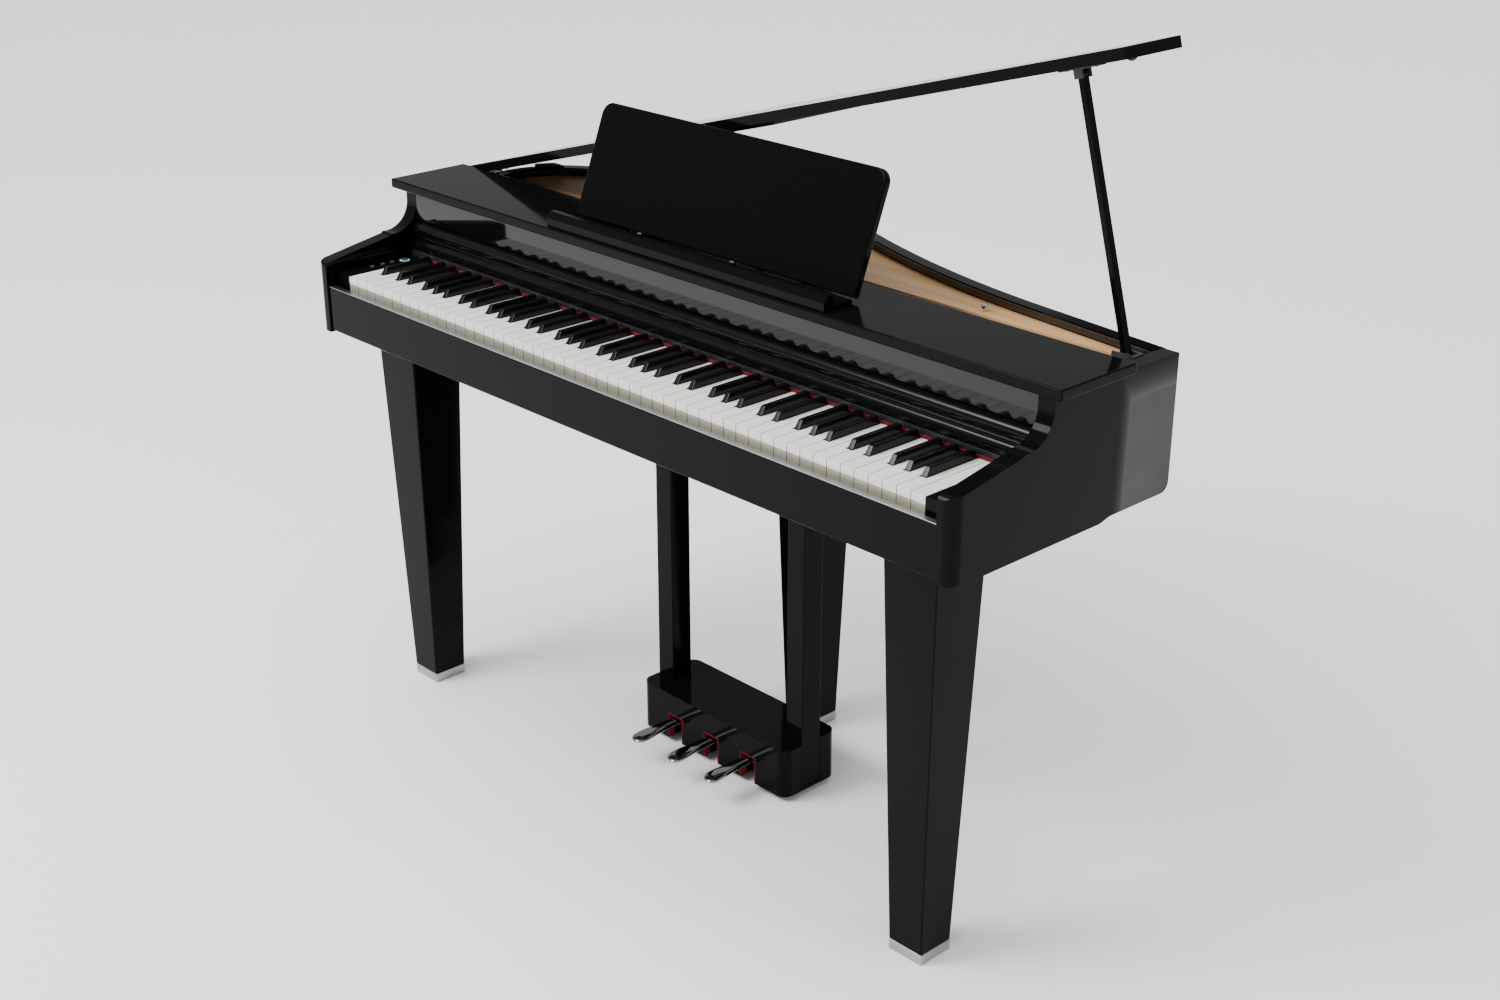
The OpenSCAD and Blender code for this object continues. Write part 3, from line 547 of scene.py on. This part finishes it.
def sharps_tree():
    """Copies one sharp along the keyboard in the two-and-three pattern."""
    def build(tree, given):
        line = wire(tree, "GeometryNodeMeshLine", {"Count": given["Count"]}).outputs[0]
        index = wire(tree, "GeometryNodeInputIndex").outputs[0]
        place = math_node(tree, "ADD", index, given["First"])
        note = math_node(tree, "MODULO", math_node(tree, "ADD", place, FIRST_NOTE), NOTES)
        pair = math_node(tree, "LESS_THAN", note, E_KEY + 0.5)
        in_pair = math_node(tree, "MULTIPLY", math_node(tree, "SUBTRACT", note, PAIR_MIDDLE), PAIR_SHIFT)
        in_three = math_node(tree, "MULTIPLY", math_node(tree, "SUBTRACT", note, THREE_MIDDLE), THREE_SHIFT)
        shift = wire(tree, "ShaderNodeMix", {0: pair, 2: in_three, 3: in_pair}).outputs[0]
        steps = math_node(tree, "ADD", math_node(tree, "ADD", place, 1.0), shift)
        along = math_node(tree, "MULTIPLY", math_node(tree, "SUBTRACT", steps, given["Middle"]),
                          given["Pitch"])
        moved = wire(tree, "GeometryNodeSetPosition", {
            "Geometry": line,
            "Position": wire(tree, "ShaderNodeCombineXYZ", {"X": along}).outputs[0]}).outputs[0]
        none_e, none_b = (wire(tree, "FunctionNodeCompare", {0: note, 1: key, 12: 0.1},
                               operation="EQUAL").outputs[0] for key in (E_KEY, B_KEY))
        last = wire(tree, "FunctionNodeCompare", {0: place, 1: given["Last"]},
                    operation="GREATER_THAN").outputs[0]
        skip = wire(tree, "FunctionNodeBooleanMath", {0: none_e, 1: none_b}, operation="OR").outputs[0]
        skip = wire(tree, "FunctionNodeBooleanMath", {0: skip, 1: last}, operation="OR").outputs[0]
        kept = wire(tree, "FunctionNodeBooleanMath", {0: skip}, operation="NOT").outputs[0]
        return wire(tree, "GeometryNodeInstanceOnPoints", {
            "Points": moved, "Selection": kept, "Instance": given["Geometry"]}).outputs[0]
    return grow("sharps", [("First", "Float", 0.0), ("Count", "Int", 13), ("Middle", "Float", 26.0),
                           ("Pitch", "Float", PITCH), ("Last", "Float", 50.5)], build)


def sweep_tree():
    """Sweeps an upright board with eased edges along a flat path."""
    def build(tree, given):
        path = wire(tree, "GeometryNodeMeshToCurve", {"Mesh": given["Geometry"]}).outputs[0]
        upright = wire(tree, "GeometryNodeSetCurveNormal", {"Curve": path}, mode="Z_UP").outputs[0]
        board = wire(tree, "GeometryNodeCurvePrimitiveQuadrilateral", {
            "Width": given["Thickness"], "Height": given["Height"]}).outputs[0]
        eased_board = wire(tree, "GeometryNodeFilletCurve", {
            "Curve": board, "Count": 3, "Radius": given["Ease"]}, mode="POLY").outputs[0]
        solid = wire(tree, "GeometryNodeCurveToMesh", {
            "Curve": upright, "Profile Curve": eased_board, "Fill Caps": True}).outputs[0]
        return wire(tree, "GeometryNodeSetShadeSmooth", {"Geometry": solid}).outputs[0]
    return grow("swept_board", [("Thickness", "Float", 0.02), ("Height", "Float", 0.1),
                                ("Ease", "Float", 0.001)], build)


def screws_tree():
    """A raised cross-slot screw on each point, turned to the point's own axis."""
    def build(tree, given):
        head = wire(tree, "GeometryNodeMeshCone", {
            "Vertices": 20, "Fill Segments": 2, "Side Segments": 2,
            "Radius Top": math_node(tree, "MULTIPLY", given["Radius"], 0.62),
            "Radius Bottom": given["Radius"], "Depth": given["Rise"]}).outputs[0]
        slot = wire(tree, "GeometryNodeMeshCube", {"Size": wire(tree, "ShaderNodeCombineXYZ", {
            "X": given["Radius"], "Y": math_node(tree, "MULTIPLY", given["Radius"], 0.24),
            "Z": given["Rise"]}).outputs[0]}).outputs[0]
        lifted = wire(tree, "ShaderNodeCombineXYZ", {"Z": given["Rise"]}).outputs[0]
        cut = head
        for turn in (0, math.pi / 2):
            arm = wire(tree, "GeometryNodeTransform", {"Geometry": slot, "Translation": lifted,
                                                       "Rotation": (0, 0, turn)}).outputs[0]
            cut = wire(tree, "GeometryNodeMeshBoolean", {0: cut, 1: arm},
                       operation="DIFFERENCE").outputs[0]
        axis = wire(tree, "GeometryNodeInputNamedAttribute", {"Name": "axis"},
                    data_type="FLOAT_VECTOR").outputs[0]
        spin = wire(tree, "FunctionNodeRandomValue", {2: 0.0, 3: math.tau, "Seed": 7}, data_type="FLOAT")
        upright = wire(tree, "FunctionNodeAlignRotationToVector", {"Vector": axis}, axis="Z").outputs[0]
        about = wire(tree, "FunctionNodeAxisAngleToRotation", {"Angle": spin.outputs[1]}).outputs[0]
        turn = wire(tree, "FunctionNodeRotateRotation", {0: upright, 1: about},
                    rotation_space="LOCAL").outputs[0]
        return wire(tree, "GeometryNodeInstanceOnPoints", {
            "Points": given["Geometry"], "Instance": cut, "Rotation": turn}).outputs[0]
    return grow("screws", [("Radius", "Float", 0.003), ("Rise", "Float", 0.001)], build)


# ---------------------------------------------------------------- the case's outline

KEY_FRONT = -0.285
HALF_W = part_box("side_right")[1][0]
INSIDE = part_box("side_right")[0][0]
TAIL_R, BEND_R, CORNER_R = 0.635, 1.6, 0.144
TAIL_C = Vector((-0.241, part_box("rim")[1][1] - TAIL_R))
BEND_A = math.radians(67.7)
BEND_C = TAIL_C + (TAIL_R + BEND_R) * Vector((math.cos(BEND_A), math.sin(BEND_A)))
RIGHT_CORNER = Vector((HALF_W, KEY_FRONT + 0.406))
RIM_T, RIM_EASE, RIM_REACH = 22 * MM, 1.6 * MM, 1.5 * MM
LINER_T, LINER_EASE, LINER_INSET = 3 * MM, 0.6 * MM, 23.8 * MM
LINER_FRONT = KEY_FRONT + 0.372
LEFT_STEPS, TAIL_STEPS, BEND_STEPS = 28, 44, 30


def arc(centre, radius, start, end, count):
    turns = (start + (end - start) * k / count for k in range(count + 1))
    return [(centre.x + radius * math.cos(a), centre.y + radius * math.sin(a)) for a in turns]


def outline(inset, stop, front=None):
    """Middle line of a board that follows the left corner, the tail and the hollow bend."""
    x = CORNER_R - HALF_W
    corner = Vector((x, TAIL_C.y + math.sqrt((TAIL_R - CORNER_R) ** 2 - (x - TAIL_C.x) ** 2)))
    turn = math.atan2(corner.y - TAIL_C.y, corner.x - TAIL_C.x)
    span = RIGHT_CORNER - BEND_C
    end = math.atan2(span.y, span.x) - math.acos(BEND_R / span.length)
    begin = math.pi if front is None else math.pi - math.asin((front - corner.y) / (CORNER_R - inset))
    points = arc(corner, CORNER_R - inset, begin, turn, LEFT_STEPS)
    points += arc(TAIL_C, TAIL_R - inset, turn, BEND_A, TAIL_STEPS)[1:]
    points += arc(BEND_C, BEND_R + inset, BEND_A - math.pi, end, BEND_STEPS)[1:]
    x, y = points[-1]
    points.append((stop, y - (stop - x) / math.tan(end)))
    return points


def swept(node, inset, thickness, ease, stop, front=None):
    """The node's board swept along the outline at the node's own height."""
    low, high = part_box(node)[0][2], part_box(node)[1][2]
    points = [(x, y, (low + high) / 2) for x, y in outline(inset, stop, front)]
    path = bare(node, points, [(k, k + 1) for k in range(len(points) - 1)])
    mesh = grown(path, SWEEP, {"Thickness": thickness, "Height": high - low, "Ease": ease,
                               "Material": FINISHES[SLOT_OF[node]]}, node, flat_faces=True)
    add_piece(node + "_made", mesh, BODY_OF[node], SLOT_OF[node], nodes=(node,))


# ---------------------------------------------------------------- keys, pedals and small parts

SHARP_HALF, SHARP_LONG = 5.25 * MM, 92 * MM
SHARP_TAPER, SHARP_SLOPE, SHARP_HEEL = 1.2 * MM, 8 * MM, 1 * MM
SHARP_SHOULDER, SHARP_ROOT, SHARP_EASE = 1 * MM, 11 * MM, 1.3 * MM
TAIL_OVERLAP, TAIL_TOP, TAIL_FOOT = 4 * MM, 2 * MM, 13 * MM


def one_sharp():
    """A sharp with tapered flanks, a sloped front and its tail under the cover, at X = 0."""
    def ring(half, front, back, z):
        return [(-half, front, z), (half, front, z), (half, back, z), (-half, back, z)]

    def walls(low):
        high = low + 4
        return [(low + k, low + (k + 1) % 4, high + (k + 1) % 4, high + k) for k in range(4)]

    (_, front, _), (_, end, _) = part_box("black_keys_1")
    shoulder = KEY_TOP - SHARP_SHOULDER
    back = front + SHARP_LONG
    verts = ring(SHARP_HALF, front, back, shoulder - SHARP_ROOT) + ring(SHARP_HALF, front, back, shoulder)
    verts += ring(SHARP_HALF - SHARP_TAPER, front + SHARP_SLOPE, back - SHARP_HEEL, SHARP_TOP)
    faces = [(3, 2, 1, 0), (8, 9, 10, 11)] + walls(0) + walls(4)
    verts += ring(SHARP_HALF, back - TAIL_OVERLAP, end, shoulder - TAIL_FOOT)
    verts += ring(SHARP_HALF, back - TAIL_OVERLAP, end, shoulder - TAIL_TOP)
    faces += [(15, 14, 13, 12), (16, 17, 18, 19)] + walls(12)
    thing = bare("sharp", verts, faces=faces)
    round_edges(thing, SHARP_EASE, 3)
    return thing


def lay_sharps():
    for part in range(4):
        node = f"black_keys_{part + 1}"
        mesh = grown(one_sharp(), SHARPS, {"First": 13.0 * part, "Material": FINISHES["sharp_keys"]}, node)
        add_piece(node + "_made", mesh, BODY_OF[node], SLOT_OF[node], nodes=(node,))


# A pedal's sizes in millimetres along its length from the tip, across it and through it.
PEDAL_LONG, PEDAL_PIVOT, BARREL_R, BARREL_LONG = 178, 173, 8, 18
TOE_R, SHANK_HALF, WAIST_LONG = 14, 9, 30
PEDAL_RISE, TOE_THINS, TOE_DROOP, DROOP_LONG = 4.5, 9, 3.2, 46
PEDAL_SIDES, PEDAL_RINGS = 28, 44
PEDAL_TIP, RING_CROWDING = 0.05, 1.6
SHANK_DROP = 3.5
PAD_HALF, PAD_FROM, PAD_TO, PAD_FOOT, PAD_HEAD, PAD_EASE = 8, 60, 74, 7.5, 3.5, 0.8


def rounded(value, power):
    return math.copysign(abs(value) ** power, value)


def pedal_section(u):
    """Half width, half thickness and droop of a pedal, u from its tip."""
    if u < TOE_R:
        half = TOE_R * math.sqrt(1 - (1 - u / TOE_R) ** 2)
    else:
        half = SHANK_HALF + (TOE_R - SHANK_HALF) / (1 + ((u - TOE_R) / WAIST_LONG) ** 3)
    rise = PEDAL_RISE * min(1, (u / TOE_THINS) ** 0.5)
    return half, rise, TOE_DROOP * max(0, 1 - u / DROOP_LONG) ** 2


def spoon(node):
    """A cast pedal: domed toe, waist and straight shank on its pivot barrel."""
    (x0, tip, _), (x1, _, top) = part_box(node)
    x = (x0 + x1) / 2
    pivot_z = top - BARREL_R * MM
    middle = pivot_z - SHANK_DROP * MM
    build = bmesh.new()
    rings = []
    for k in range(PEDAL_RINGS + 1):
        u = PEDAL_TIP + PEDAL_LONG * (k / PEDAL_RINGS) ** RING_CROWDING
        half, rise, droop = pedal_section(u)
        ring = []
        for j in range(PEDAL_SIDES):
            a = math.tau * j / PEDAL_SIDES
            wide = rounded(math.cos(a), 0.75) * half
            high = rounded(math.sin(a), 0.85) * rise
            ring.append(build.verts.new((x + wide * MM, tip + u * MM, middle + (high - droop) * MM)))
        rings.append(ring)
    for a, b in zip(rings, rings[1:]):
        for j in range(PEDAL_SIDES):
            after = (j + 1) % PEDAL_SIDES
            build.faces.new((a[j], b[j], b[after], a[after]))
    build.faces.new(rings[0])
    build.faces.new(reversed(rings[-1]))
    across = Matrix.Rotation(math.pi / 2, 4, "Y")
    barrel = Matrix.Translation((x, tip + PEDAL_PIVOT * MM, pivot_z)) @ across
    bmesh.ops.create_cone(build, cap_ends=True, segments=32, radius1=BARREL_R * MM,
                          radius2=BARREL_R * MM, depth=BARREL_LONG * MM, matrix=barrel)
    bmesh.ops.recalc_face_normals(build, faces=build.faces)
    mesh = bpy.data.meshes.new(node)
    build.to_mesh(mesh)
    build.free()
    for face in mesh.polygons:
        face.use_smooth = True
    add_piece(node + "_made", mesh, BODY_OF[node], SLOT_OF[node], SHADED_CHROME, (node,))
    pad = slab(node + "_pad", (x - PAD_HALF * MM, tip + PAD_FROM * MM, middle - PAD_FOOT * MM),
               (x + PAD_HALF * MM, tip + PAD_TO * MM, middle - PAD_HEAD * MM), PAD_EASE * MM)
    add_piece(node + "_pad", pad, BODY_OF[node], "red_felt")


def slab(name, low, high, ease):
    """A box with rounded edges, as a mesh."""
    build = bmesh.new()
    bmesh.ops.create_cube(build, size=1)
    for vert in build.verts:
        vert.co = Vector([low[k] + (vert.co[k] + 0.5) * (high[k] - low[k]) for k in range(3)])
    mesh = bpy.data.meshes.new(name)
    build.to_mesh(mesh)
    build.free()
    thing = bpy.data.objects.new(name, mesh)
    bpy.context.collection.objects.link(thing)
    round_edges(thing, ease, 3)
    return applied(thing, name)


RING_GAP, RING_WIDE, RING_HIGH = 1.6 * MM, 0.9 * MM, 0.35 * MM


def light_ring():
    """The lit ring let into the left key block around the power button."""
    (x0, y0, _), (x1, y1, _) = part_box("power_button")
    middle = Vector(((x0 + x1) / 2, (y0 + y1) / 2, KEY_TOP))
    radius = (x1 - x0) / 2 + RING_GAP
    verts = []
    faces = []
    around, across = 48, 8
    for i in range(around):
        a = math.tau * i / around
        for j in range(across):
            b = math.tau * j / across
            reach = radius + RING_WIDE * math.cos(b)
            verts.append((middle.x + reach * math.cos(a), middle.y + reach * math.sin(a),
                          middle.z + RING_HIGH * math.sin(b)))
            i2, j2 = (i + 1) % around, (j + 1) % across
            faces.append((i * across + j, i2 * across + j, i2 * across + j2, i * across + j2))
    ring = bare("power_ring", verts, faces=faces)
    for face in ring.data.polygons:
        face.use_smooth = True
    mesh = ring.data
    bpy.data.objects.remove(ring)
    add_piece("power_ring", mesh, "case", "button_plastic", POWER_GLOW)


SCREW_R, SCREW_RISE = 2.9 * MM, 1.1 * MM
HINGE = Vector((-0.670, 0, 0.814))
HINGE_KNUCKLES = (KEY_FRONT + 0.298, KEY_FRONT + 0.328)
LEAF_HOLES = (5 * MM, 17 * MM)
CASE_LEAF, LID_LEAF, LEAF_T = 13 * MM, 22 * MM, 1.6 * MM
LID_UNDER = RIM_TOP + 4.4 * MM
PROP_X, PROP_Y, PROP_HOLES, PROP_FLANGE = 0.576, KEY_FRONT + 0.355, 24 * MM, 3 * MM
DESK_X, DESK_Y, DESK_Z, DESK_HOLES = 0.194, KEY_FRONT + 0.2325, LID_UNDER + 16.6 * MM, 12 * MM
BED_X, BED_STEP, BED_COUNT, BED_ROWS = -0.6, 0.15, 9, (KEY_FRONT + 0.012, KEY_FRONT + 0.27)


def screw_spots():
    """Where each screw sits and which way its head looks: the case's, then the shut lid's."""
    down = Vector((0, 0, -1))
    case, lid = [], []
    for knuckle in HINGE_KNUCKLES:
        for hole in LEAF_HOLES:
            case.append((Vector((HINGE.x + CASE_LEAF, knuckle + hole, RIM_TOP + LEAF_T)), -down))
            lid.append((Vector((HINGE.x + LID_LEAF, knuckle + hole, LID_UNDER - LEAF_T)), down))
    for side in (-PROP_HOLES, PROP_HOLES):
        lid.append((Vector((PROP_X + side, PROP_Y, LID_UNDER - PROP_FLANGE)), down))
    for x in (-DESK_X, DESK_X):
        for side in (-DESK_HOLES, DESK_HOLES):
            case.append((Vector((x + side, DESK_Y, DESK_Z)), -down))
    for k in range(BED_COUNT):
        for y in BED_ROWS:
            case.append((Vector((BED_X + BED_STEP * k, y, BED_Z)), down))
    return case, lid


def drive_screws():
    """Cross-slot screws on the hinge leaves, the prop bracket, the desk brackets and the bottom."""
    case, lid = screw_spots()
    swing = Matrix.Rotation(-LID_OPEN, 3, "Y")
    lid = [(swing @ (place - HINGE) + HINGE, swing @ axis) for place, axis in lid]
    for body, spots in (("case", case), ("lid", lid)):
        points = bare(body + "_screws", [place for place, axis in spots])
        axes = points.data.attributes.new("axis", "FLOAT_VECTOR", "POINT")
        for k, (place, axis) in enumerate(spots):
            axes.data[k].vector = axis
        mesh = grown(points, SCREWS, {"Radius": SCREW_R, "Rise": SCREW_RISE,
                                      "Material": FINISHES["frame_steel"]}, body + "_screws")
        add_piece(body + "_screws", mesh, body, "frame_steel")


# Radius in millimetres and segments of the eased edges, by node.
EASED = {
    "side_left": (1.6, 3), "side_right": (1.6, 3), "key_slip": (1.5, 3), "front_panel": (1.0, 2),
    "top_panel": (2.2, 3), "key_blocks": (0.8, 2), "cross_rail": (1.0, 2), "case_bottom": (1.5, 2),
    "deck": (0.5, 1), "deck_knob": (0.8, 3), "felt_rail": (0.5, 2), "key_felt": (0.6, 2),
    "slip_strip": (0.3, 2), "music_desk": (2.4, 4), "desk_ledge": (1.2, 3),
    "desk_brackets": (0.3, 1), "desk_barrels": (0.3, 1), "page_clip_left": (0.5, 2),
    "page_clip_right": (0.5, 2), "lid": (2.0, 3), "lid_batten": (1.0, 2), "lid_hinge_case": (0.3, 1),
    "lid_hinge_lid": (0.3, 1), "prop": (2.0, 3), "prop_bracket": (0.5, 2), "prop_fork": (0.7, 2),
    "front_legs": (2.0, 3), "rear_leg": (2.0, 3), "leg_plates": (0.8, 2), "foot_caps": (1.2, 3),
    "pedal_box": (2.0, 3), "pedal_posts": (1.6, 3), "pedal_felts": (0.5, 2), "cover_moulding": (1.0, 3),
    "cover_board": (0.8, 2), "function_button": (0.6, 3), "volume_buttons": (0.6, 3),
    "power_button": (0.8, 3),
}
EASED.update({f"white_keys_{part}": (0.7, 3) for part in range(1, 5)})
PEDALS = ("soft_pedal", "middle_pedal", "sustain_pedal")
OWN = ["rim", "rim_liner", *PEDALS] + [f"black_keys_{part}" for part in range(1, 5)]
SPECIAL = {"front_panel": MIRROR_LACQUER, "cover_moulding": SOFT_LACQUER,
           "page_clip_left": SHADED_CHROME, "page_clip_right": SHADED_CHROME}


def ease_all():
    for node, (radius, segments) in EASED.items():
        mesh = eased(node, radius * MM, segments)
        add_piece(node + "_made", mesh, BODY_OF[node], SLOT_OF[node], SPECIAL.get(node), (node,))


def finish_the_rest():
    """CAD nodes that keep their own mesh take their finish."""
    for node, thing in frame["nodes"].items():
        if node not in EASED and node not in OWN:
            thing.data.materials.clear()
            thing.data.materials.append(FINISHES[SLOT_OF[node]])


SHARPS = sharps_tree()
SWEEP = sweep_tree()
SCREWS = screws_tree()

place_camera()
light_studio()
lay_floor()
ease_all()
swept("rim", RIM_T / 2, RIM_T, RIM_EASE, INSIDE + RIM_REACH)
swept("rim_liner", LINER_INSET, LINER_T, LINER_EASE, INSIDE - LINER_T, LINER_FRONT)
lay_sharps()
for pedal in PEDALS:
    spoon(pedal)
light_ring()
drive_screws()
finish_the_rest()
